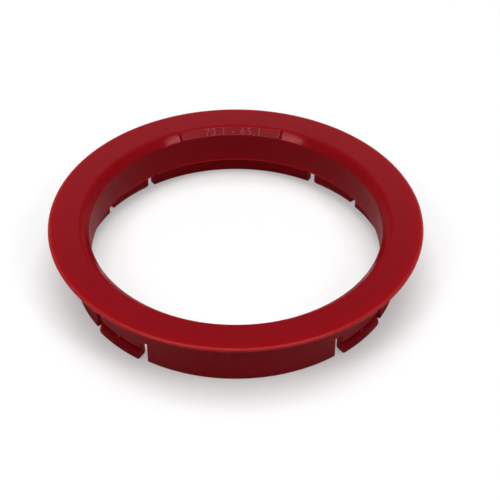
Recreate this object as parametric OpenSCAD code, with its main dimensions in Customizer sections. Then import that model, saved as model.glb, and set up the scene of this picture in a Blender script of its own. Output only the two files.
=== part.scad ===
// Hub centric ring for a car wheel: a flanged sleeve with a slotted skirt and four snap tabs.
// It clips into the wheel's centre bore, and its own bore slides over the hub's spigot.
// Millimetres, +Z up. Origin on the ring's axis, level with the skirt's lower edge.

/* [Fits] */
// bore that slides over the hub's spigot, diameter
bore_d = 65.1; // [60:0.1:67]
// body that fills the wheel's centre bore, diameter
body_d = 73.1; // [71:0.1:78]

/* [Flange] */
// outer diameter of the flange
flange_d = 83; // [79:0.5:86]
// whole height, skirt edge to flange face
total_h = 13.7; // [12.5:0.1:18]
// thickness left at the flange's rim
rim_h = 0.55; // [0.55:0.05:1.2]
// radius that rounds the rim's upper edge
rim_round = 0.45; // [0.1:0.05:0.5]
// slope of the seat under the flange, degrees from level
seat_angle = 45; // [30:1:48]
// bevel that leads the hub's spigot into the bore
lead_in = 1.7; // [0.8:0.1:2.2]
// radius that rounds this bevel into the flange's face
mouth_round = 1.4; // [0.2:0.1:1.8]

/* [Skirt] */
// height of the skirt's hollow part, up to the bore's land
hollow_h = 4.6; // [3.8:0.1:6]
// wall thickness of the skirt
skirt_t = 1.8; // [1.6:0.1:2.6]
// bevel on the land's lower edge
land_bevel = 0.25; // [0.1:0.05:0.4]
// bevel on the skirt's lower edges
edge_bevel = 0.25; // [0.1:0.05:0.4]

/* [Snap tabs] */
// number of snap tabs round the skirt
tab_count = 4; // [2:1:6]
// width of a tab between its two slots
tab_w = 12; // [8:0.2:16]
// width of each slot
slot_w = 1.8; // [1:0.1:2.4]
// height of each slot
slot_h = 5.2; // [4.2:0.1:5.8]
// radius that rounds a tab's lower corners
corner_r = 0.8; // [0.4:0.1:1.2]
// how far the bead stands out from the body
bead_out = 0.5; // [0.3:0.05:1]
// height at which the bead's roll leaves the pocket's floor
bead_h = 2.4; // [1.6:0.1:2.6]
// bevel that leads the bead into the wheel
bead_lead = 0.2; // [0.1:0.05:0.4]
// height of the pocket above the bead
pocket_h = 1; // [0.6:0.1:1.4]
// depth of the pocket
pocket_t = 0.5; // [0.2:0.1:0.9]
// width of the rib that parts the two pockets of a tab
rib_w = 0.7; // [0.4:0.1:1.6]
// radial size of the bevel inside a tab's lower edge
tip_bevel = 0.45; // [0.3:0.05:0.7]
// height of the bevel inside a tab's lower edge
tip_bevel_h = 0.9; // [0.6:0.1:1.4]

/* [Hidden] */
$fn = 192;
bore_r = bore_d / 2;
body_r = body_d / 2;
flange_r = flange_d / 2;
skirt_in_r = body_r - skirt_t;
rim_z = total_h - rim_h;
seat_z = rim_z - (flange_r - body_r) * tan(seat_angle);
// turn from a tab's middle to the middle of the slot beside it
slot_turn = asin((tab_w + slot_w) / 2 / body_r);
// turn from a tab's middle to the side of its rib
rib_turn = asin(rib_w / 2 / body_r);
pocket_r = body_r - pocket_t;
// slope of the bevel at the bore's mouth, as lead_in is both its width and its height
lead_angle = 45;
// where the flange's flat face starts, outside the mouth's rounding
face_r = bore_r + lead_in + mouth_round * tan(lead_angle / 2);
// flats that draw the mouth's rounding
mouth_steps = 6;
// how far round its quarter turn the roll comes out of the body
roll_out = asin(pocket_t / (pocket_t + bead_out));
// flats that draw each part of the roll
roll_steps = 4;
tab_step = 360 / tab_count;
// the tabs stand half a step off the axes
tab_turns = [for (i = [0 : tab_count - 1]) (i + 0.5) * tab_step];
// how far a cutting shape runs past the face it leaves
past = 1;
// the rounding's centre sits this share of its radius above the lower edge
corner_lift = 0.94;

// one point of the mouth's rounding: 0 degrees on the face, lead_angle on the bevel
function mouth_point(a) = [
    face_r - mouth_round * sin(a),
    total_h - mouth_round * (1 - cos(a))
];

// the mouth's rounding from the bevel up to the face
mouth_points = [
    for (i = [mouth_steps : -1 : 0]) mouth_point(lead_angle * i / mouth_steps)
];

// the ring's section, radius across and height up
module body_section() {
    polygon(concat(mouth_points, [
        [flange_r - rim_round, total_h],
        [flange_r, total_h - rim_round],
        [flange_r, rim_z],
        [body_r, seat_z],
        [body_r, edge_bevel],
        [body_r - edge_bevel, 0],
        [skirt_in_r + edge_bevel, 0],
        [skirt_in_r, edge_bevel],
        [skirt_in_r, hollow_h],
        [bore_r + land_bevel, hollow_h],
        [bore_r, hollow_h + land_bevel],
        [bore_r, total_h - lead_in]
    ]));
    translate([flange_r - rim_round, total_h - rim_round])
        circle(r = rim_round, $fn = 24);
}

// one point of the bead's roll: 0 degrees on the pocket's floor, 90 degrees at its widest
function roll_point(a) = [
    pocket_r + (pocket_t + bead_out) * sin(a),
    bead_lead + (bead_h - bead_lead) * cos(a)
];

function roll(from, to) = [
    for (i = [0 : roll_steps]) roll_point(from + (to - from) * i / roll_steps)
];

// the bead's section outside the body: a roll that is widest just above the lower edge
module bead_section() {
    inner_r = (skirt_in_r + pocket_r) / 2;
    polygon(concat(
        roll(roll_out, 90),
        [
            [body_r + bead_out - bead_lead, 0],
            [inner_r, 0],
            [inner_r, roll_point(roll_out)[1]]
        ]
    ));
}

// one pocket's section, open outwards, with the start of the roll for its lower side
module pocket_section() {
    polygon(concat(
        roll(0, roll_out),
        [
            [body_r + past, roll_point(roll_out)[1]],
            [body_r + past, bead_h + pocket_h],
            [pocket_r, bead_h + pocket_h]
        ]
    ));
}

// what the bevel takes off inside a tab's lower edge
module tip_section() {
    polygon([
        [skirt_in_r - tip_bevel, 2 * tip_bevel_h],
        [skirt_in_r - tip_bevel, -tip_bevel_h],
        [skirt_in_r + 2 * tip_bevel, -tip_bevel_h]
    ]);
}

// sweeps a section from one turn to another about the axis
module sector(from, to) {
    rotate_extrude(angle = to - from, start = from)
        children();
}

// one slot seen from outside, with the tab on its right
module slot_outline() {
    translate([-slot_w / 2, -past])
        square([slot_w, slot_h + past]);
    difference() {
        translate([slot_w / 2, -past])
            square([corner_r, past + corner_r * corner_lift]);
        translate([slot_w / 2 + corner_r, corner_r * corner_lift])
            circle(r = corner_r, $fn = 32);
    }
}

// one slot, cut straight through the skirt, with the tab towards +Y
module slot() {
    translate([bore_r - past, 0, 0])
        rotate([90, 0, 90])
            linear_extrude(height = body_r + bead_out - bore_r + 2 * past)
                slot_outline();
}

module ring() {
    color([0.62, 0.06, 0.08])
    difference() {
        union() {
            rotate_extrude()
                body_section();
            for (turn = tab_turns)
                sector(turn - slot_turn, turn + slot_turn)
                    bead_section();
        }
        for (turn = tab_turns) {
            sector(turn + rib_turn, turn + slot_turn)
                pocket_section();
            sector(turn - slot_turn, turn - rib_turn)
                pocket_section();
            sector(turn - slot_turn, turn + slot_turn)
                tip_section();
            rotate([0, 0, turn - slot_turn])
                slot();
            rotate([0, 0, turn + slot_turn])
                mirror([0, 1, 0])
                    slot();
        }
    }
}

ring();
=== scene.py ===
"""Looks for a hub centric ring: a flanged, slotted sleeve of red moulded plastic.

Everything is in metres, in the CAD part's own frame: the origin lies on the ring's axis,
level with the skirt's lower edge, and +Z runs from the skirt to the flange's flat face.
"""
import logging
import math
from dataclasses import dataclass, field
from enum import Enum, IntEnum

import bmesh
import bpy
from mathutils import Matrix, Vector


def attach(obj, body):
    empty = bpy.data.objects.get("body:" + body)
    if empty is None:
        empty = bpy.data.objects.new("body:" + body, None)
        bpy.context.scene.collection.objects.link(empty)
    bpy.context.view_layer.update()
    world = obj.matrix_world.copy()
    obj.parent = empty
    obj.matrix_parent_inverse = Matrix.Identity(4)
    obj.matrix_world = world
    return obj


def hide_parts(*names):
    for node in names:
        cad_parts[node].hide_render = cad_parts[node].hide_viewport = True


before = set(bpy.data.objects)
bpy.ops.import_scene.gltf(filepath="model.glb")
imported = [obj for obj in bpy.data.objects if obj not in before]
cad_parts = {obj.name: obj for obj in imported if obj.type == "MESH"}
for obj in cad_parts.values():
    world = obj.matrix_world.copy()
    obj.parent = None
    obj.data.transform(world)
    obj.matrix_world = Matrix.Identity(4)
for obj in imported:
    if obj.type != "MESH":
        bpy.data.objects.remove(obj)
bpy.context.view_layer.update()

MM = 0.001
# an edge that turns by more degrees than this is a sharp one
SHARP = 25.0
LOG = logging.getLogger("hub_ring")


def linear(hex_colour: str) -> tuple[float, float, float, float]:
    """Turns an sRGB colour written as hex into linear values.

    Args:
        hex_colour: six hex digits, such as "8c1219".

    Returns:
        Linear red, green, blue and a full alpha.
    """
    shares = [int(hex_colour[i:i + 2], 16) / 255 for i in (0, 2, 4)]
    curve = [c / 12.92 if c <= 0.04045 else ((c + 0.055) / 1.055) ** 2.4 for c in shares]
    return (*curve, 1.0)


def add(
    tree: bpy.types.NodeTree,
    kind: str,
    settings: dict[str, object] | None = None,
    feeds: dict[str | int, object] | None = None,
) -> bpy.types.Node:
    """Adds one node with its settings, values and links.

    Args:
        tree: the node tree that gets the node.
        kind: Blender's name for the kind of node.
        settings: the node's own options by name.
        feeds: a value or an output socket for each input, by the input's name or number.

    Returns:
        The new node.
    """
    node = tree.nodes.new(kind)
    for name, value in (settings or {}).items():
        setattr(node, name, value)
    for key, value in (feeds or {}).items():
        if isinstance(value, bpy.types.NodeSocket):
            tree.links.new(value, node.inputs[key])
        else:
            node.inputs[key].default_value = value
    return node


def plain_object(name: str, source: bpy.types.Object) -> bpy.types.Object:
    """Turns what an object's modifiers make into a plain mesh object, and removes the source.

    Args:
        name: the new object's name.
        source: the object with its modifiers.

    Returns:
        The plain mesh object at the origin.
    """
    depsgraph = bpy.context.evaluated_depsgraph_get()
    mesh = bpy.data.meshes.new_from_object(source.evaluated_get(depsgraph), depsgraph=depsgraph)
    bpy.data.objects.remove(source)
    made = bpy.data.objects.new(name, mesh)
    mesh.name = name
    bpy.context.scene.collection.objects.link(made)
    return made


class Zone(Enum):
    """What stands below the slots' upper ends at one turn."""

    RIB = "rib"
    POCKET = "pocket"
    SLOT = "slot"
    SKIRT = "skirt"


class Skin(IntEnum):
    """Which part of the mould made a face; the number is its finish's place on the mesh."""

    POLISHED = 0
    BED = 1
    CORE = 2
    WALL = 3
    BEVEL = 4
    MOUTH = 5


@dataclass(frozen=True)
class MouldedRed:
    """Glossy injection-moulded ABS in a deep signal red.

    The eye sees a clean, slightly translucent red with a soft sheen and faint rings where the
    mould was turned. Two marks are painted light: a painted glow that brightens the thin rim,
    strongest on the -Y side, and a pale painted highlight on the rim's rounding.
    """

    name: str = "abs_red_moulded"
    colour_low: str = "7f0811"
    colour_high: str = "870b16"
    # pale colour of the painted highlight on the rim's rounding
    colour_painted_highlight: str = "ae3c3e"
    # painted glow: the rim's colour is brightened where light would come through the thin rim, fully on
    # the -Y side, which faces the front lamps, and fading to nothing towards +Y
    colour_rim_glow: str = "8d070e"
    rim_glow_from_mm: float = 38.0
    rim_glow_to_mm: float = 41.3
    glow_full_y_mm: float = 5.0
    glow_gone_y_mm: float = 35.0
    ior: float = 1.52
    specular: float = 0.2
    specular_tint: str = "ffaeb2"
    # seen nearly edge-on, the skin's fine grain scatters what it would mirror
    edge_on_from: float = 0.75
    edge_on_to: float = 0.93
    edge_on_rough: float = 0.8
    glow: float = 0.5
    glow_mm: tuple[float, float, float] = (5.0, 0.5, 0.4)
    rough_low: float = 0.17
    rough_high: float = 0.23
    # flow clouds in the pigment, 14 mm across
    cloud_mm: float = 14.0
    # handling haze, 3 mm across, and the part of its noise that shows
    haze_mm: float = 3.0
    haze_low: float = 0.3
    haze_high: float = 0.7
    # least share of the painted rim highlight that is left in the haze's dark places
    highlight_least: float = 0.7
    # turning marks of the mould: 0.05 mm apart in truth, drawn at 0.45 mm so that they show
    ring_mm: float = 0.45
    # skin grain, drawn at 0.5 mm so that it shows
    grain_mm: float = 0.5
    ring_depth_mm: float = 0.015
    grain_depth_mm: float = 0.006

    def make(self) -> bpy.types.Material:
        """Builds the material.

        Returns:
            The finished material.
        """
        material = bpy.data.materials.new(self.name)
        material.use_nodes = True
        tree = material.node_tree
        tree.nodes.clear()
        place = add(tree, "ShaderNodeTexCoord").outputs["Object"]
        clouds = add(tree, "ShaderNodeTexNoise", feeds={
            "Vector": place, "Scale": 1 / (self.cloud_mm * MM), "Detail": 2.0})
        body = add(tree, "ShaderNodeMix", {"data_type": "RGBA"}, {
            "Factor": clouds.outputs["Fac"], 6: linear(self.colour_low), 7: linear(self.colour_high)})
        level = add(tree, "ShaderNodeVectorMath", {"operation": "MULTIPLY"}, {
            0: place, 1: (1.0, 1.0, 0.0)})
        radius = add(tree, "ShaderNodeVectorMath", {"operation": "LENGTH"}, {0: level.outputs[0]})
        # painted glow: the rim's band is mixed towards the brighter rim colour on the -Y side, fading
        # out towards +Y
        rim_band = add(tree, "ShaderNodeMapRange", feeds={
            "Value": radius.outputs["Value"], "From Min": self.rim_glow_from_mm * MM,
            "From Max": self.rim_glow_to_mm * MM})
        parts = add(tree, "ShaderNodeSeparateXYZ", feeds={0: place})
        gate = add(tree, "ShaderNodeMapRange", feeds={
            "Value": parts.outputs["Y"], "From Min": self.glow_full_y_mm * MM,
            "From Max": self.glow_gone_y_mm * MM, "To Min": 1.0, "To Max": 0.0})
        rim_glow = add(tree, "ShaderNodeMath", {"operation": "MULTIPLY"}, {
            0: rim_band.outputs["Result"], 1: gate.outputs["Result"]})
        lit = add(tree, "ShaderNodeMix", {"data_type": "RGBA"}, {
            "Factor": rim_glow.outputs[0], 6: body.outputs[2], 7: linear(self.colour_rim_glow)})
        # painted highlight: the rim's rounding, marked by an attribute, is mixed towards a pale colour
        # in patches from the haze
        rim_highlight = add(tree, "ShaderNodeAttribute", {"attribute_name": "edge_wear"})
        fleck = add(tree, "ShaderNodeTexNoise", feeds={
            "Vector": place, "Scale": 1 / (self.haze_mm * MM), "Detail": 4.0, "Roughness": 0.6})
        patchy = add(tree, "ShaderNodeMapRange", feeds={
            "Value": fleck.outputs["Fac"], "From Min": self.haze_low, "From Max": self.haze_high,
            "To Min": self.highlight_least, "To Max": 1.0})
        highlight_share = add(tree, "ShaderNodeMath", {"operation": "MULTIPLY"}, {
            0: rim_highlight.outputs["Fac"], 1: patchy.outputs["Result"]})
        colour = add(tree, "ShaderNodeMix", {"data_type": "RGBA"}, {
            "Factor": highlight_share.outputs[0], 6: lit.outputs[2], 7: linear(self.colour_painted_highlight)})
        rough = add(tree, "ShaderNodeMapRange", feeds={
            "Value": fleck.outputs["Fac"], "From Min": self.haze_low, "From Max": self.haze_high,
            "To Min": self.rough_low, "To Max": self.rough_high})
        along = add(tree, "ShaderNodeMath", {"operation": "ADD"}, {
            0: radius.outputs["Value"], 1: parts.outputs["Z"]})
        rings = add(tree, "ShaderNodeTexNoise", {"noise_dimensions": "1D"}, {
            "W": along.outputs[0], "Scale": 1 / (self.ring_mm * MM), "Detail": 2.0})
        grain = add(tree, "ShaderNodeTexNoise", feeds={
            "Vector": place, "Scale": 1 / (self.grain_mm * MM), "Detail": 3.0})
        turned = add(tree, "ShaderNodeBump", feeds={
            "Strength": 1.0, "Distance": self.ring_depth_mm * MM, "Height": rings.outputs["Fac"]})
        skin = add(tree, "ShaderNodeBump", feeds={
            "Strength": 1.0, "Distance": self.grain_depth_mm * MM, "Height": grain.outputs["Fac"],
            "Normal": turned.outputs["Normal"]})
        edge_on = add(tree, "ShaderNodeLayerWeight", feeds={"Blend": 0.5})
        dulled = add(tree, "ShaderNodeMapRange", feeds={
            "Value": edge_on.outputs["Facing"], "From Min": self.edge_on_from,
            "From Max": self.edge_on_to, "To Min": rough.outputs["Result"],
            "To Max": self.edge_on_rough})
        shader = add(tree, "ShaderNodeBsdfPrincipled", feeds={
            "Base Color": colour.outputs[2], "Roughness": dulled.outputs["Result"],
            "IOR": self.ior, "Specular IOR Level": self.specular,
            "Specular Tint": linear(self.specular_tint),
            "Subsurface Weight": self.glow, "Subsurface Scale": MM,
            "Subsurface Radius": self.glow_mm,
            "Normal": skin.outputs["Normal"]})
        add(tree, "ShaderNodeOutputMaterial", feeds={"Surface": shader.outputs[0]})
        return material


@dataclass(frozen=True)
class PaleFloor:
    """Matt white paper: an even pale ground that keeps the ring's soft shadow."""

    name: str = "paper_white_matt"
    colour: str = "f9f9f9"
    fibre: str = "f5f5f5"
    # what its bounced light counts as, so that the ring's walls keep their depth
    bounce: str = "c2c2c2"
    # share of its white that doesn't depend on the lamps, so that the shadow stays light
    own_light: float = 0.3
    # paper fibre, drawn at 4 mm so that it doesn't flicker
    fibre_mm: float = 4.0

    def make(self) -> bpy.types.Material:
        """Builds the material.

        Returns:
            The finished material.
        """
        material = bpy.data.materials.new(self.name)
        material.use_nodes = True
        tree = material.node_tree
        tree.nodes.clear()
        place = add(tree, "ShaderNodeTexCoord").outputs["Object"]
        noise = add(tree, "ShaderNodeTexNoise", feeds={
            "Vector": place, "Scale": 1 / (self.fibre_mm * MM)})
        colour = add(tree, "ShaderNodeMix", {"data_type": "RGBA"}, {
            "Factor": noise.outputs["Fac"], 6: linear(self.colour), 7: linear(self.fibre)})
        ray = add(tree, "ShaderNodeLightPath").outputs
        seen = add(tree, "ShaderNodeMath", {"operation": "ADD"}, {
            0: ray["Is Camera Ray"], 1: ray["Is Glossy Ray"]})
        shown = add(tree, "ShaderNodeMath", {"operation": "ADD", "use_clamp": True}, {
            0: seen.outputs[0], 1: ray["Is Transmission Ray"]})
        paper = add(tree, "ShaderNodeMix", {"data_type": "RGBA"}, {
            "Factor": shown.outputs[0], 6: linear(self.bounce), 7: colour.outputs[2]})
        matt = add(tree, "ShaderNodeBsdfDiffuse", feeds={"Color": paper.outputs[2]})
        white = add(tree, "ShaderNodeEmission", feeds={"Color": colour.outputs[2], "Strength": 1.0})
        lift = add(tree, "ShaderNodeMath", {"operation": "MULTIPLY"}, {
            0: shown.outputs[0], 1: self.own_light})
        shader = add(tree, "ShaderNodeMixShader", feeds={
            0: lift.outputs[0], 1: matt.outputs[0], 2: white.outputs[0]})
        add(tree, "ShaderNodeOutputMaterial", feeds={"Surface": shader.outputs[0]})
        return material


@dataclass(frozen=True)
class Column:
    """One line of the mesh round the ring's section.

    It stands at a turn from the tab's middle, or beside a slot at a distance from the slot's
    middle plane, measured towards the tab.
    """

    turn: float = 0.0
    beside: float | None = None
    lift: float = 0.0


@dataclass
class SnapRing:
    """The whole ring: flange, seat, bevelled bore, hollow skirt, slots and snap tabs.

    Sizes are in millimetres and degrees.
    """

    bore_r: float = 32.55
    body_r: float = 36.55
    flange_r: float = 41.5
    total_h: float = 13.7
    rim_h: float = 0.55
    rim_round: float = 0.45
    seat_angle: float = 45.0
    lead_in: float = 1.7
    # radius that rounds the bore's bevel into the flange's face, and how far each of the
    # points that draw it leans, in degrees; the bed for the size marks ends at the second one
    mouth_round: float = 1.4
    mouth_leans: tuple[float, ...] = (45.0, 30.0, 22.5, 15.0, 7.5, 0.0)
    hollow_h: float = 4.6
    skirt_t: float = 1.8
    land_bevel: float = 0.25
    edge_bevel: float = 0.25
    tab_count: int = 4
    tab_w: float = 12.0
    slot_w: float = 1.8
    slot_h: float = 5.2
    corner_r: float = 0.8
    corner_lift: float = 0.94
    # where the points that draw a tab's rounded corner stand, as shares of its reach
    corner_shares: tuple[float, ...] = (1.0, 0.79, 0.57, 0.34, 0.15)
    bead_out: float = 0.5
    bead_h: float = 2.4
    bead_lead: float = 0.2
    pocket_h: float = 1.0
    pocket_t: float = 0.5
    rib_w: float = 0.7
    tip_bevel: float = 0.45
    tip_bevel_h: float = 0.9
    # the shallow bed for the size marks, on the bore's bevel, and the groove at each of its ends
    plate_turn: float = 20.2
    plate_margin: float = 0.15
    plate_wall: float = 0.05
    plate_depth: float = 0.1
    groove_turn: float = 1.7
    groove_depth: float = 0.25
    # how far each kind of edge is rounded, the bore's the most, and the flats that draw it
    fine_round: float = 0.07
    rim_low_round: float = 0.05
    bore_round: float = 0.2
    round_steps: int = 3
    # flats that draw each part of the bead's roll, and the rim's rounding
    roll_steps: int = 4
    rim_steps: int = 9
    # painted highlight on the rim's rounding: how far in from the rounding it reaches over the face,
    # the share of the rounding's height that it reaches down, and how strong it is at most
    highlight_w: float = 0.3
    highlight_down: float = 0.6
    highlight_share: float = 0.34
    # how far past a form's end an edge or a face still counts as part of it
    edge_slack: float = 0.01
    face_slack: float = 0.05
    # points closer than this are one point
    weld: float = 0.004
    # turn between two columns of the mesh, at most
    step_deg: float = 0.9
    finish: MouldedRed = field(default_factory=MouldedRed)
    # an even matt bed, so that the numbers stand out from it
    plate_finish: MouldedRed = field(default_factory=lambda: MouldedRed(
        name="abs_red_spark_eroded", rough_low=0.42, rough_high=0.5, specular=0.28, grain_mm=0.35,
        grain_depth_mm=0.012, ring_depth_mm=0.0))
    # the core's plain steel leaves the bore, slots and beads dull and deep red
    core_finish: MouldedRed = field(default_factory=lambda: MouldedRed(
        name="abs_red_dull_core", rough_low=0.42, rough_high=0.5, specular=0.05, glow=0.8,
        glow_mm=(7.0, 0.5, 0.4), edge_on_rough=0.5))
    # the outer wall has a soft sheen, without clear reflections
    wall_finish: MouldedRed = field(default_factory=lambda: MouldedRed(
        name="abs_red_satin_wall", rough_low=0.25, rough_high=0.32, specular=0.08,
        ring_depth_mm=0.004, grain_depth_mm=0.003, edge_on_from=0.45, edge_on_to=0.8))
    # the cutter's marks on the bevel, 0.1 mm apart in truth, are drawn coarser so that they show
    bevel_finish: MouldedRed = field(default_factory=lambda: MouldedRed(
        name="abs_red_turned_bevel", rough_low=0.1, rough_high=0.14, specular=0.2, ring_mm=0.9,
        ring_depth_mm=0.04, edge_on_from=0.7, edge_on_to=0.88, edge_on_rough=0.9))
    # the rounding above the bevel was left matt, so no pale line runs round the bore's mouth
    mouth_finish: MouldedRed = field(default_factory=lambda: MouldedRed(
        name="abs_red_matt_mouth", rough_low=0.42, rough_high=0.5, specular=0.04,
        edge_on_rough=0.6))

    def __post_init__(self) -> None:
        """Works out what follows from the sizes."""
        self.skirt_in_r = self.body_r - self.skirt_t
        self.rim_z = self.total_h - self.rim_h
        drop = (self.flange_r - self.body_r) * math.tan(math.radians(self.seat_angle))
        self.seat_z = self.rim_z - drop
        self.slot_turn = math.degrees(math.asin((self.tab_w + self.slot_w) / 2 / self.body_r))
        self.rib_turn = math.degrees(math.asin(self.rib_w / 2 / self.body_r))
        self.pocket_r = self.body_r - self.pocket_t
        lean = math.radians(self.mouth_leans[0])
        self.face_r = self.bore_r + self.lead_in + self.mouth_round * math.tan(lean / 2)
        self.roll_out = math.degrees(math.asin(self.pocket_t / (self.pocket_t + self.bead_out)))

    def mouth(self) -> list[tuple[float, float]]:
        """Gives the rounding between the bore's bevel and the flange's face.

        Returns:
            Radius and height of each point, from the bevel up.
        """
        return [
            (self.face_r - self.mouth_round * math.sin(a),
             self.total_h - self.mouth_round * (1 - math.cos(a)))
            for a in map(math.radians, self.mouth_leans)
        ]

    def upper(self) -> list[tuple[float, float]]:
        """Gives the section above the slots, from the bore over the flange to the body.

        Returns:
            Radius and height of each corner.
        """
        rim = [
            (self.flange_r - self.rim_round + self.rim_round * math.sin(a),
             self.total_h - self.rim_round + self.rim_round * math.cos(a))
            for a in (math.radians(90 * i / self.rim_steps) for i in range(self.rim_steps + 1))
        ]
        return [
            (self.bore_r, self.slot_h),
            (self.bore_r, self.total_h - self.lead_in),
            *self.mouth(),
            # where the painted highlight on the rim's rounding starts across the face
            (self.flange_r - self.rim_round - self.highlight_w, self.total_h),
            *rim,
            (self.flange_r, self.rim_z),
            (self.body_r, self.seat_z),
            (self.body_r, self.slot_h),
        ]

    def roll(self, start: float, end: float) -> list[tuple[float, float]]:
        """Gives the bead's rolled outer side, from its start on the pocket's floor.

        Args:
            start: where the points start, in degrees: 0 on the pocket's floor.
            end: where they end: 90 at the bead's widest.

        Returns:
            Radius and height of each point.
        """
        out, rise = self.pocket_t + self.bead_out, self.bead_h - self.bead_lead
        span = end - start
        turns = [math.radians(start + span * i / self.roll_steps) for i in range(self.roll_steps + 1)]
        return [(self.pocket_r + out * math.sin(t), self.bead_lead + rise * math.cos(t)) for t in turns]

    def lower(self, zone: Zone, lift: float) -> list[tuple[float, float]]:
        """Gives the section below the slots' upper ends, from outside to inside.

        Args:
            zone: what stands there.
            lift: how far the lower edge stands up, at a tab's rounded corner.

        Returns:
            Radius and height of each corner, without the two ends it shares with upper().
        """
        if zone is Zone.SLOT:
            return []
        land = [
            (self.skirt_in_r, self.hollow_h),
            (self.bore_r + self.land_bevel, self.hollow_h),
            (self.bore_r, self.hollow_h + self.land_bevel),
        ]
        if zone is Zone.SKIRT:
            return [
                (self.body_r, self.edge_bevel),
                (self.body_r - self.edge_bevel, 0.0),
                (self.skirt_in_r + self.edge_bevel, 0.0),
                (self.skirt_in_r, self.edge_bevel),
                *land,
            ]
        top = self.bead_h + self.pocket_h
        pocket: list[tuple[float, float]] = []
        if zone is Zone.POCKET:
            pocket = [(self.pocket_r, top), *self.roll(0.0, self.roll_out)[:-1]]
        roll_end = math.degrees(math.acos(lift / (self.bead_h - self.bead_lead)))
        bead = self.roll(self.roll_out, roll_end)
        return [
            (self.body_r, top),
            *pocket,
            *bead,
            (bead[-1][0] - self.bead_lead, lift),
            (self.skirt_in_r + self.tip_bevel * (1 - lift / self.tip_bevel_h), lift),
            (self.skirt_in_r, self.tip_bevel_h),
            *land,
        ]

    def columns(self) -> list[tuple[Column, Zone]]:
        """Lists the columns from a tab's middle to halfway to the next tab.

        Returns:
            Each column with the zone that follows it; the last one's zone isn't used.
        """
        half_slot = self.slot_w / 2
        rows = [(Column(0.0), Zone.RIB)]
        tab_end = self.slot_turn - math.degrees(math.asin((half_slot + self.corner_r) / self.bore_r))
        steps = math.ceil((tab_end - self.rib_turn) / self.step_deg)
        for i in range(steps + 1):
            rows.append((Column(self.rib_turn + (tab_end - self.rib_turn) * i / steps), Zone.POCKET))
        centre_z = self.corner_r * self.corner_lift
        reach = self.corner_r - math.sqrt(self.corner_r ** 2 - centre_z ** 2)
        for share in self.corner_shares:
            inset = reach * share
            lift = centre_z - math.sqrt(self.corner_r ** 2 - (self.corner_r - inset) ** 2)
            rows.append((Column(beside=half_slot + inset, lift=max(lift, 0.0)), Zone.POCKET))
        rows.append((Column(beside=half_slot, lift=centre_z), Zone.SLOT))
        rows.append((Column(beside=half_slot / 3), Zone.SLOT))
        rows.append((Column(beside=-half_slot / 3), Zone.SLOT))
        rows.append((Column(beside=-half_slot), Zone.SKIRT))
        sector_end = 180 / self.tab_count
        plate_end = sector_end - self.plate_turn
        groove_mid = plate_end - self.groove_turn / 2
        groove_end = plate_end - self.groove_turn
        skirt_start = self.slot_turn + math.degrees(math.asin(half_slot / self.bore_r)) + self.step_deg
        stops = (skirt_start, groove_end, groove_mid, plate_end, sector_end)
        rows.append((Column(skirt_start), Zone.SKIRT))
        for start, end in zip(stops, stops[1:]):
            steps = 1 if groove_mid in (start, end) else math.ceil((end - start) / self.step_deg)
            for i in range(1, steps + 1):
                rows.append((Column(start + (end - start) * i / steps), Zone.SKIRT))
        return rows

    def spot(self, column: Column, point: tuple[float, float], side: int) -> Vector:
        """Gives a place on the ring in metres.

        Args:
            column: the column it stands on.
            point: its radius and height.
            side: 1 on one side of the tab's middle and -1 on the other.

        Returns:
            The place, with the tab's middle towards +X.
        """
        radius, height = point
        turn = column.turn
        if column.beside is not None:
            turn = self.slot_turn - math.degrees(math.asin(column.beside / radius))
        angle = math.radians(turn) * side
        return Vector((radius * math.cos(angle), radius * math.sin(angle), height)) * MM

    def sector_mesh(self) -> bpy.types.Mesh:
        """Builds one tab with its two slots and half the skirt on each side.

        Returns:
            A mesh that is open only at its two ends.
        """
        work = bmesh.new()
        rows = self.columns()
        upper = self.upper()
        for side in (1, -1):
            for (near, zone), (far, after) in zip(rows, rows[1:]):
                near_loop = upper + self.lower(zone, near.lift)
                far_loop = upper + self.lower(zone, far.lift)
                a = [work.verts.new(self.spot(near, p, side)) for p in near_loop]
                b = [work.verts.new(self.spot(far, p, side)) for p in far_loop]
                for i in range(len(a)):
                    j = (i + 1) % len(a)
                    work.faces.new((a[i], a[j], b[j], b[i]))
                for wall in self.end_walls(zone, after, far.lift):
                    work.faces.new([work.verts.new(self.spot(far, p, side)) for p in wall])
        bmesh.ops.remove_doubles(work, verts=work.verts, dist=self.weld * MM)
        mesh = bpy.data.meshes.new("ring_sector")
        work.to_mesh(mesh)
        work.free()
        return mesh

    def end_walls(self, zone: Zone, after: Zone, lift: float) -> list[list[tuple[float, float]]]:
        """Gives the flat walls where one zone meets the next.

        Args:
            zone: what stands before the column.
            after: what stands behind it.
            lift: how far the lower edge stands up at the column.

        Returns:
            The walls' corners, as radius and height.
        """
        if zone is after:
            return []
        if Zone.SLOT in (zone, after):
            solid = after if zone is Zone.SLOT else zone
            ends = (self.body_r, self.slot_h), (self.bore_r, self.slot_h)
            return [[ends[0], *self.lower(solid, lift), ends[1]]]
        top = self.bead_h + self.pocket_h
        return [[(self.body_r, top), (self.pocket_r, top), *self.roll(0.0, self.roll_out)]]

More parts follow.
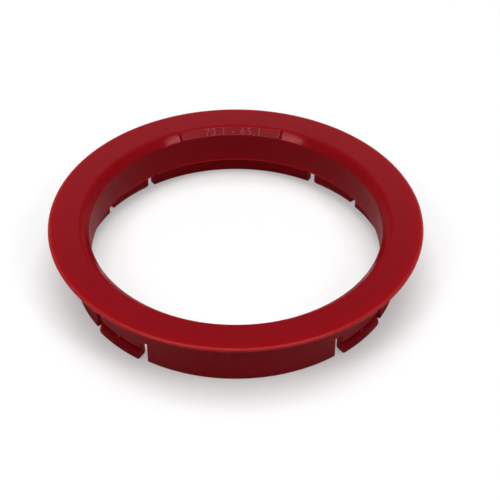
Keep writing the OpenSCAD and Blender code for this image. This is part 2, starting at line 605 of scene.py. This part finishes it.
    def repeat_tree(self) -> bpy.types.NodeTree:
        """Builds the node tree that sets the sectors round the axis and joins them.

        Returns:
            A geometry node tree with named inputs.
        """
        tree = bpy.data.node_groups.new("sectors_round_axis", "GeometryNodeTree")
        face = tree.interface
        face.new_socket("Sector", in_out="INPUT", socket_type="NodeSocketGeometry")
        face.new_socket("Tab count", in_out="INPUT", socket_type="NodeSocketInt")
        face.new_socket("First turn", in_out="INPUT", socket_type="NodeSocketFloat")
        face.new_socket("Weld distance", in_out="INPUT", socket_type="NodeSocketFloat")
        face.new_socket("Finish", in_out="INPUT", socket_type="NodeSocketMaterial")
        face.new_socket("Ring", in_out="OUTPUT", socket_type="NodeSocketGeometry")
        given = add(tree, "NodeGroupInput").outputs
        points = add(tree, "GeometryNodePoints", feeds={"Count": given["Tab count"]})
        index = add(tree, "GeometryNodeInputIndex")
        share = add(tree, "ShaderNodeMath", {"operation": "DIVIDE"}, {
            0: math.tau, 1: given["Tab count"]})
        turn = add(tree, "ShaderNodeMath", {"operation": "MULTIPLY_ADD"}, {
            0: index.outputs[0], 1: share.outputs[0], 2: given["First turn"]})
        spin = add(tree, "ShaderNodeCombineXYZ", feeds={"Z": turn.outputs[0]})
        copies = add(tree, "GeometryNodeInstanceOnPoints", feeds={
            "Points": points.outputs[0], "Instance": given["Sector"], "Rotation": spin.outputs[0]})
        real = add(tree, "GeometryNodeRealizeInstances", feeds={0: copies.outputs[0]})
        welded = add(tree, "GeometryNodeMergeByDistance", feeds={
            "Geometry": real.outputs[0], "Distance": given["Weld distance"]})
        dressed = add(tree, "GeometryNodeSetMaterial", feeds={
            "Geometry": welded.outputs[0], "Material": given["Finish"]})
        add(tree, "NodeGroupOutput", feeds={0: dressed.outputs[0]})
        return tree

    def edge_round(self, edge: bmesh.types.BMEdge) -> float:
        """Says how far an edge is rounded.

        Args:
            edge: an edge of the sharp ring.

        Returns:
            The width of its rounding in millimetres, 0 where it stays as it is.
        """
        if len(edge.link_faces) != 2 or edge.calc_face_angle_signed() < math.radians(SHARP):
            return 0.0
        middle = (edge.verts[0].co + edge.verts[1].co) / 2 / MM
        radius = math.hypot(middle.x, middle.y)
        reach = self.lead_in + self.edge_slack
        if middle.z > self.total_h - reach and radius < self.bore_r + reach:
            return self.bore_round
        if radius > self.flange_r - self.rim_round:
            return self.rim_low_round
        return self.fine_round

    def skin_at(self, face: bmesh.types.BMFace) -> Skin:
        """Says which part of the mould made a face.

        Args:
            face: a face of the sharp ring.

        Returns:
            The core for the bore, the slots and the beads, the wall for what lies under the
            flange outside, the bevel and the rounding of the bore's mouth, or the polished half.
        """
        centre = face.calc_center_median() / MM
        radius = math.hypot(centre.x, centre.y)
        step = math.tau / self.tab_count
        turn = abs(math.atan2(centre.y, centre.x) % step - step / 2)
        beside = radius * math.sin(abs(turn - math.radians(self.slot_turn)))
        in_bore = radius < self.skirt_in_r + self.land_bevel and centre.z < self.total_h - self.lead_in
        slack = self.face_slack
        in_slot = beside < self.slot_w / 2 + slack and centre.z < self.slot_h + slack
        on_bead = turn < math.radians(self.slot_turn) and centre.z < self.bead_h + self.pocket_h
        if in_bore or in_slot or on_bead:
            return Skin.CORE
        if radius > self.skirt_in_r and centre.z < self.rim_z:
            return Skin.WALL
        if radius < self.mouth()[1][0]:
            return Skin.BEVEL
        return Skin.MOUTH if radius < self.face_r else Skin.POLISHED

    def press_plate(self, work: bmesh.types.BMesh) -> None:
        """Sinks the shallow bed for the size marks into the bore's bevel, on the +Y side.

        Args:
            work: the ring, which is changed in place.
        """
        top_r = self.mouth()[1][0]
        bed: list[bmesh.types.BMFace] = []
        grooves: dict[bool, tuple[list[bmesh.types.BMFace], ...]] = {True: ([], []), False: ([], [])}
        for face in work.faces:
            centre = face.calc_center_median() / MM
            turn = math.degrees(math.atan2(centre.x, centre.y))
            if centre.z < self.total_h - self.lead_in or math.hypot(centre.x, centre.y) > top_r:
                continue
            if abs(turn) < self.plate_turn:
                bed.append(face)
            elif abs(turn) < self.plate_turn + self.groove_turn:
                far = abs(turn) > self.plate_turn + self.groove_turn / 2
                grooves[turn > 0][far].append(face)
        for near_side, far_side in grooves.values():
            both = near_side + far_side
            bmesh.ops.inset_region(
                work, faces=both, thickness=self.plate_margin * MM, use_even_offset=True)
            valley = {v for f in near_side for v in f.verts} & {v for f in far_side for v in f.verts}
            inwards = -sum((f.normal for f in both), Vector()).normalized()
            for vert in valley:
                vert.co += inwards * self.groove_depth * MM
        bmesh.ops.inset_region(work, faces=bed, thickness=self.plate_margin * MM, use_even_offset=True)
        bmesh.ops.inset_region(
            work, faces=bed, thickness=self.plate_wall * MM, depth=-self.plate_depth * MM,
            use_even_offset=True)
        for face in bed:
            face.material_index = Skin.BED.value

    def build(self) -> bpy.types.Object:
        """Builds the ring, finishes its edges and hangs it in the frame.

        Returns:
            The finished piece.
        """
        skins = {
            Skin.POLISHED: self.finish, Skin.BED: self.plate_finish, Skin.CORE: self.core_finish,
            Skin.WALL: self.wall_finish, Skin.BEVEL: self.bevel_finish, Skin.MOUTH: self.mouth_finish,
        }
        finishes = [skins[skin].make() for skin in sorted(skins)]
        sector = bpy.data.objects.new("ring_sector", self.sector_mesh())
        bpy.context.scene.collection.objects.link(sector)
        tree = self.repeat_tree()
        modifier = sector.modifiers.new("round_axis", "NODES")
        modifier.node_group = tree
        wanted = {
            "Tab count": self.tab_count, "First turn": math.pi / self.tab_count,
            "Weld distance": self.weld * MM, "Finish": finishes[Skin.POLISHED],
        }
        for item in tree.interface.items_tree:
            if item.name in wanted:
                modifier[item.identifier] = wanted[item.name]
        sharp = plain_object("sharp_ring", sector)
        sharp.data.materials.clear()
        for finish in finishes:
            sharp.data.materials.append(finish)
        work = bmesh.new()
        work.from_mesh(sharp.data)
        for face in work.faces:
            face.material_index = self.skin_at(face).value
        bmesh.ops.recalc_face_normals(work, faces=work.faces)
        weights = work.edges.layers.float.new("bevel_weight_edge")
        for edge in work.edges:
            rounded = self.edge_round(edge)
            edge[weights] = rounded / self.bore_round
            edge.smooth = rounded > 0 or edge.calc_face_angle(0.0) < math.radians(SHARP)
        self.press_plate(work)
        for edge in work.edges:
            if edge[weights] == 0 and edge.calc_face_angle(0.0) > math.radians(SHARP):
                edge.smooth = False
        for face in work.faces:
            face.smooth = True
        work.to_mesh(sharp.data)
        work.free()
        bevel = sharp.modifiers.new("edges", "BEVEL")
        bevel.limit_method = "WEIGHT"
        bevel.width = self.bore_round * MM
        bevel.segments = self.round_steps
        bevel.use_clamp_overlap = False
        normals = sharp.modifiers.new("normals", "WEIGHTED_NORMAL")
        normals.keep_sharp = True
        ring = plain_object("snap_ring", sharp)
        # paints a pale highlight onto the rim's rounding, as an attribute that the finishes read
        self.paint_rim_highlight(ring.data)
        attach(ring, "root")
        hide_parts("ring")
        return ring

    def paint_rim_highlight(self, mesh: bpy.types.Mesh) -> None:
        """Writes how strongly the painted highlight pales each point of the rim's rounding.

        Args:
            mesh: the finished ring, which gets the attribute that holds the painted highlight.
        """
        inner_r = (self.flange_r - self.rim_round - self.highlight_w / 2) * MM
        lowest = (self.total_h - self.rim_round * self.highlight_down) * MM
        highlight_at = [
            self.highlight_share if vert.co.xy.length > inner_r and vert.co.z > lowest else 0.0
            for vert in mesh.vertices
        ]
        mesh.attributes.new("edge_wear", "FLOAT", "POINT").data.foreach_set("value", highlight_at)


@dataclass
class SizeMarks:
    """Plain raised numbers for the ring's two fits, in the bed on the bore's bevel.

    Sizes are in millimetres.
    """

    words: str = "73.1 - 65.1"
    letter_size: float = 2.55
    spacing: float = 1.22
    # how far their middle stands to +X of the bed's middle
    shift: float = 0.6
    # where the numbers' middle stands on the bevel
    middle_r: float = 33.34
    middle_z: float = 12.75
    # where they start, below the bevel's own face, and how high they stand from there
    base: float = -0.14
    relief: float = 0.2
    # how far their edges are rounded, the flats that draw it, and the turn in degrees it starts at
    edge_round: float = 0.05
    edge_steps: int = 2
    edge_from: float = 50.0
    # points closer than this are one point
    weld: float = 0.002
    # painted highlight: tops paler than the bed, standing in for glints off the raised numbers, and a
    # little shinier
    finish: MouldedRed = field(default_factory=lambda: MouldedRed(
        name="abs_red_painted_glint", colour_low="a23c44", colour_high="ae484e", specular=0.4,
        rough_low=0.3, rough_high=0.4, grain_depth_mm=0.0, ring_depth_mm=0.0))

    def tree(self) -> bpy.types.NodeTree:
        """Builds the node tree that raises the numbers and bends them round the bevel.

        Returns:
            A geometry node tree with named inputs.
        """
        tree = bpy.data.node_groups.new("numbers_on_bevel", "GeometryNodeTree")
        face = tree.interface
        face.new_socket("Geometry", in_out="INPUT", socket_type="NodeSocketGeometry")
        face.new_socket("Words", in_out="INPUT", socket_type="NodeSocketString")
        sizes = "Letter size", "Spacing", "Shift", "Middle radius", "Middle height", "Base", "Relief"
        for name in sizes:
            face.new_socket(name, in_out="INPUT", socket_type="NodeSocketFloat")
        face.new_socket("Finish", in_out="INPUT", socket_type="NodeSocketMaterial")
        face.new_socket("Numbers", in_out="OUTPUT", socket_type="NodeSocketGeometry")
        given = add(tree, "NodeGroupInput").outputs
        letters = add(tree, "GeometryNodeStringToCurves", {"align_x": "CENTER", "align_y": "MIDDLE"}, {
            "String": given["Words"], "Size": given["Letter size"],
            "Character Spacing": given["Spacing"]})
        real = add(tree, "GeometryNodeRealizeInstances", feeds={0: letters.outputs[0]})
        flat = add(tree, "GeometryNodeFillCurve", {"mode": "NGONS"}, {0: real.outputs[0]})
        raised = add(tree, "GeometryNodeExtrudeMesh", feeds={
            "Mesh": flat.outputs[0], "Offset Scale": given["Relief"], "Individual": False})
        under = add(tree, "GeometryNodeFlipFaces", feeds={0: flat.outputs[0]})
        both = add(tree, "GeometryNodeJoinGeometry")
        tree.links.new(raised.outputs[0], both.inputs[0])
        tree.links.new(under.outputs[0], both.inputs[0])
        closed = add(tree, "GeometryNodeMergeByDistance", feeds={
            "Geometry": both.outputs[0], "Distance": self.weld * MM})
        place = add(tree, "GeometryNodeInputPosition")
        parts = add(tree, "ShaderNodeSeparateXYZ", feeds={0: place.outputs[0]})
        proud = add(tree, "ShaderNodeMath", {"operation": "ADD"}, {
            0: parts.outputs["Z"], 1: given["Base"]})
        # the bevel leans by 45 degrees
        slant = math.sqrt(0.5)
        out = add(tree, "ShaderNodeMath", {"operation": "SUBTRACT"}, {
            0: parts.outputs["Y"], 1: proud.outputs[0]})
        up = add(tree, "ShaderNodeMath", {"operation": "ADD"}, {
            0: parts.outputs["Y"], 1: proud.outputs[0]})
        radius = add(tree, "ShaderNodeMath", {"operation": "MULTIPLY_ADD"}, {
            0: out.outputs[0], 1: slant, 2: given["Middle radius"]})
        height = add(tree, "ShaderNodeMath", {"operation": "MULTIPLY_ADD"}, {
            0: up.outputs[0], 1: slant, 2: given["Middle height"]})
        across = add(tree, "ShaderNodeMath", {"operation": "ADD"}, {
            0: parts.outputs["X"], 1: given["Shift"]})
        turn = add(tree, "ShaderNodeMath", {"operation": "DIVIDE"}, {
            0: across.outputs[0], 1: given["Middle radius"]})
        sine = add(tree, "ShaderNodeMath", {"operation": "SINE"}, {0: turn.outputs[0]})
        cosine = add(tree, "ShaderNodeMath", {"operation": "COSINE"}, {0: turn.outputs[0]})
        x = add(tree, "ShaderNodeMath", {"operation": "MULTIPLY"}, {
            0: radius.outputs[0], 1: sine.outputs[0]})
        y = add(tree, "ShaderNodeMath", {"operation": "MULTIPLY"}, {
            0: radius.outputs[0], 1: cosine.outputs[0]})
        target = add(tree, "ShaderNodeCombineXYZ", feeds={
            0: x.outputs[0], 1: y.outputs[0], 2: height.outputs[0]})
        bent = add(tree, "GeometryNodeSetPosition", feeds={
            "Geometry": closed.outputs[0], "Position": target.outputs[0]})
        final = add(tree, "GeometryNodeRealizeInstances", feeds={0: bent.outputs[0]})
        dressed = add(tree, "GeometryNodeSetMaterial", feeds={
            "Geometry": final.outputs[0], "Material": given["Finish"]})
        add(tree, "NodeGroupOutput", feeds={0: dressed.outputs[0]})
        return tree

    def build(self) -> bpy.types.Object:
        """Builds the numbers and hangs them in the frame.

        Returns:
            The finished piece.
        """
        finish = self.finish.make()
        source = bpy.data.objects.new("numbers_source", bpy.data.meshes.new("numbers_source"))
        bpy.context.scene.collection.objects.link(source)
        tree = self.tree()
        modifier = source.modifiers.new("numbers", "NODES")
        modifier.node_group = tree
        wanted = {
            "Words": self.words, "Letter size": self.letter_size * MM, "Spacing": self.spacing,
            "Shift": self.shift * MM, "Middle radius": self.middle_r * MM,
            "Middle height": self.middle_z * MM, "Base": self.base * MM,
            "Relief": self.relief * MM, "Finish": finish,
        }
        for item in tree.interface.items_tree:
            if item.name in wanted:
                modifier[item.identifier] = wanted[item.name]
        edges = source.modifiers.new("edges", "BEVEL")
        edges.width = self.edge_round * MM
        edges.segments = self.edge_steps
        edges.limit_method = "ANGLE"
        edges.angle_limit = math.radians(self.edge_from)
        marks = plain_object("size_marks", source)
        marks.data.materials.clear()
        marks.data.materials.append(finish)
        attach(marks, "root")
        return marks


@dataclass
class Softbox:
    """One soft studio lamp that faces the ring. Angles are in degrees and lengths in metres."""

    name: str
    azimuth: float
    elevation: float
    distance: float
    width: float
    height: float
    radiance: float

    def build(self) -> bpy.types.Object:
        """Hangs the lamp.

        Returns:
            The lamp's object.
        """
        data = bpy.data.lights.new(self.name, "AREA")
        data.shape = "RECTANGLE"
        data.size, data.size_y = self.width, self.height
        data.energy = self.radiance * math.pi * self.width * self.height
        lamp = bpy.data.objects.new(self.name, data)
        a, e = math.radians(self.azimuth), math.radians(self.elevation)
        back = Vector((math.sin(a) * math.cos(e), -math.cos(a) * math.cos(e), math.sin(e)))
        lamp.location = back * self.distance
        lamp.rotation_mode = "QUATERNION"
        lamp.rotation_quaternion = back.to_track_quat("Z", "Y")
        bpy.context.scene.collection.objects.link(lamp)
        return lamp


@dataclass
class Studio:
    """The pale floor, the soft lamps, the world and the camera. Lengths are in metres."""

    floor_r: float = 6.0
    floor_sides: int = 64
    floor_finish: PaleFloor = field(default_factory=PaleFloor)
    lamps: tuple[Softbox, ...] = (
        Softbox("overhead_box", 0.0, 90.0, 2.0, 1.7, 1.7, 4.0),
        Softbox("right_box", 49.0, 48.0, 2.0, 0.48, 0.55, 8.0),
        Softbox("left_box", -50.0, 48.0, 2.0, 0.48, 0.55, 8.0),
        Softbox("back_card", 180.0, 33.0, 2.0, 1.6, 0.55, 0.4),
    )
    # the sky's strength near the horizon and overhead, and between which heights it changes
    sky_low: float = 0.3
    sky_high: float = 0.14
    sky_from: float = 0.15
    sky_to: float = 0.45
    sky_colour: str = "ffffff"
    # the camera that the photograph was taken with, fitted to the ring's own edges; it aims at the
    # middle of the flange's face, which stands at aim_pixel in the photograph
    distance: float = 0.2872
    elevation: float = 39.68
    azimuth: float = -2.2
    roll: float = -0.015
    aim: tuple[float, float, float] = (0.0, 0.0, 0.0137)
    aim_pixel: tuple[float, float] = (235.92, 216.37)
    frame_pixels: float = 500.0
    focal_pixels: float = 1293.8
    sensor: float = 36.0
    clip: tuple[float, float] = (0.01, 50.0)

    def floor(self) -> bpy.types.Object:
        """Lays the pale floor under the ring.

        Returns:
            The floor's object.
        """
        work = bmesh.new()
        bmesh.ops.create_circle(
            work, cap_ends=True, radius=self.floor_r, segments=self.floor_sides)
        mesh = bpy.data.meshes.new("floor")
        work.to_mesh(mesh)
        work.free()
        mesh.materials.append(self.floor_finish.make())
        ground = bpy.data.objects.new("floor", mesh)
        bpy.context.scene.collection.objects.link(ground)
        return ground

    def world(self) -> None:
        """Sets a soft sky that is pale at the horizon and dimmer overhead."""
        world = bpy.data.worlds.new("studio")
        bpy.context.scene.world = world
        world.use_nodes = True
        tree = world.node_tree
        tree.nodes.clear()
        way = add(tree, "ShaderNodeTexCoord").outputs["Generated"]
        parts = add(tree, "ShaderNodeSeparateXYZ", feeds={0: way})
        level = add(tree, "ShaderNodeMapRange", {"interpolation_type": "SMOOTHSTEP"}, {
            "Value": parts.outputs["Z"], "From Min": self.sky_from, "From Max": self.sky_to,
            "To Min": self.sky_low, "To Max": self.sky_high})
        light = add(tree, "ShaderNodeBackground", feeds={
            "Color": linear(self.sky_colour), "Strength": level.outputs["Result"]})
        add(tree, "ShaderNodeOutputWorld", feeds={"Surface": light.outputs[0]})

    def camera(self) -> bpy.types.Object:
        """Sets the camera at the photograph's angle.

        Returns:
            The camera's object.
        """
        a, e = math.radians(self.azimuth), math.radians(self.elevation)
        back = Vector((math.sin(a) * math.cos(e), -math.cos(a) * math.cos(e), math.sin(e)))
        ahead = -back
        right = ahead.cross(Vector((0, 0, 1))).normalized()
        above = right.cross(ahead)
        look = Matrix((right, -above, ahead))
        across = self.aim_pixel[0] - self.frame_pixels / 2
        down = self.aim_pixel[1] - self.frame_pixels / 2
        pan = math.atan2(across, self.focal_pixels)
        tilt = math.atan2(down, math.hypot(self.focal_pixels, across))
        turn = Matrix.Rotation(pan, 3, "Y") @ Matrix.Rotation(-tilt, 3, "X")
        rows = turn @ Matrix.Rotation(math.radians(self.roll), 3, "Z") @ look
        data = bpy.data.cameras.new("photo_camera")
        data.sensor_width = self.sensor
        data.lens = self.focal_pixels * self.sensor / self.frame_pixels
        data.clip_start, data.clip_end = self.clip
        camera = bpy.data.objects.new("photo_camera", data)
        axes = Matrix((rows[0], -rows[1], -rows[2])).transposed().to_4x4()
        camera.matrix_world = Matrix.Translation(Vector(self.aim) + back * self.distance) @ axes
        bpy.context.scene.collection.objects.link(camera)
        bpy.context.scene.camera = camera
        return camera

    def build(self) -> None:
        """Sets up everything round the ring."""
        bpy.context.scene.view_settings.view_transform = "Standard"
        self.floor()
        for lamp in self.lamps:
            lamp.build()
        self.world()
        self.camera()


def main() -> None:
    logging.basicConfig(level=logging.INFO, format="%(name)s: %(message)s")
    Studio().build()
    ring = SnapRing().build()
    marks = SizeMarks().build()
    for piece in (ring, marks):
        LOG.info("%s: %d faces", piece.name, len(piece.data.polygons))


if __name__ == "__main__":
    main()
